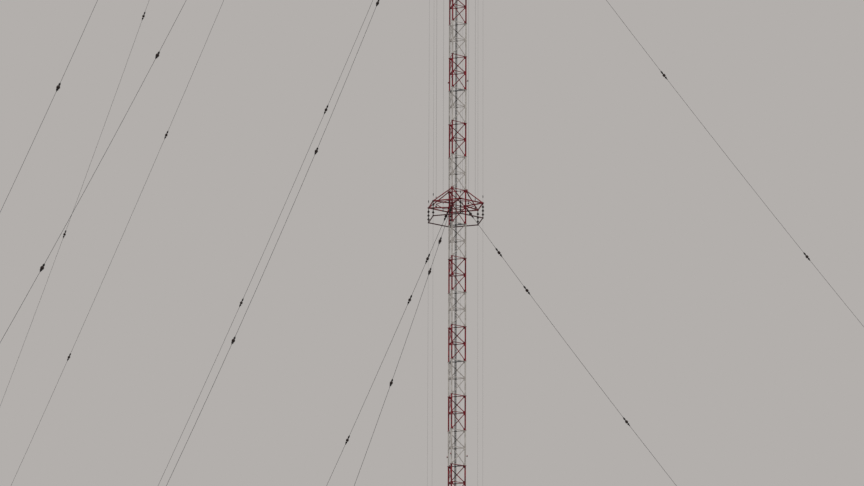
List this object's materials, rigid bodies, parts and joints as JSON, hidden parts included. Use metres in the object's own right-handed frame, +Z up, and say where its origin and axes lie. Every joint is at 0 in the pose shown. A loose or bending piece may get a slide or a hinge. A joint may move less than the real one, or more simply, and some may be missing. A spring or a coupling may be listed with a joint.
{
  "type": "guyed lattice radio mast, 1:10 scale model",
  "caption": "Red and white banded triangular lattice radio mast held by guys, with a hexagonal ring half-way up that carries a cage of vertical wires.",
  "frame": {"origin": "middle of the pedestal's underside, at ground level, on the mast's axis", "axes": "+Z up the mast; +X through the east leg, whose guys lie in the XZ plane; the other legs are at 120 and 240 degrees"},
  "size_m": [25.2886, 29.2008, 25.656],
  "materials": {
    "red_paint": "weathered satin",
    "white_paint": "weathered satin",
    "galvanised_steel": "dull zinc",
    "dark_steel": "matte black",
    "wire_steel": "greased strand",
    "brown_glaze": "glossy glaze",
    "concrete": "cast concrete",
    "lamp_glass": "red glass"
  },
  "bodies": {
    "root": {"anchor_plates": "galvanised_steel", "base_insulator": "brown_glaze", "beacon": "lamp_glass", "bed_plate": "galvanised_steel", "east_leg_red": "red_paint", "east_leg_white": "white_paint", "feeder": "dark_steel", "foot_crown_brackets": "red_paint", "foot_crown_ring": "red_paint", "foot_frame": "galvanised_steel", "guy_insulators_level_1": "brown_glaze", "guy_insulators_level_2": "brown_glaze", "guy_insulators_level_3": "brown_glaze", "guy_insulators_level_4": "brown_glaze", "guy_insulators_level_5": "brown_glaze", "guy_lugs": "galvanised_steel", "guys_level_1": "wire_steel", "guys_level_2": "wire_steel", "guys_level_3": "wire_steel", "guys_level_4": "wire_steel", "guys_level_5": "wire_steel", "head_plate": "galvanised_steel", "inner_anchor_blocks": "concrete", "inner_cage_wires": "wire_steel", "ladder": "dark_steel", "lamp_arms": "galvanised_steel", "lightning_rod": "galvanised_steel", "lower_cage_wires": "wire_steel", "middle_anchor_blocks": "concrete", "middle_crown_brackets": "red_paint", "middle_crown_inner_ring": "red_paint", "middle_crown_insulators": "brown_glaze", "middle_crown_ring": "red_paint", "middle_crown_thin_ring": "red_paint", "northeast_bracing_red": "red_paint", "northeast_bracing_white": "white_paint", "northwest_leg_red": "red_paint", "northwest_leg_white": "white_paint", "obstruction_lamps": "lamp_glass", "outer_anchor_blocks": "concrete", "pedestal": "concrete", "rest_platforms": "dark_steel", "southeast_bracing_red": "red_paint", "southeast_bracing_white": "white_paint", "southwest_leg_red": "red_paint", "southwest_leg_white": "white_paint", "top_crown_brackets": "red_paint", "top_crown_inner_ring": "red_paint", "top_crown_insulators": "brown_glaze", "top_crown_ring": "red_paint", "top_crown_thin_ring": "red_paint", "turnbuckles": "galvanised_steel", "upper_cage_wires": "wire_steel", "west_bracing_red": "red_paint", "west_bracing_white": "white_paint"}
  },
  "joints": []
}
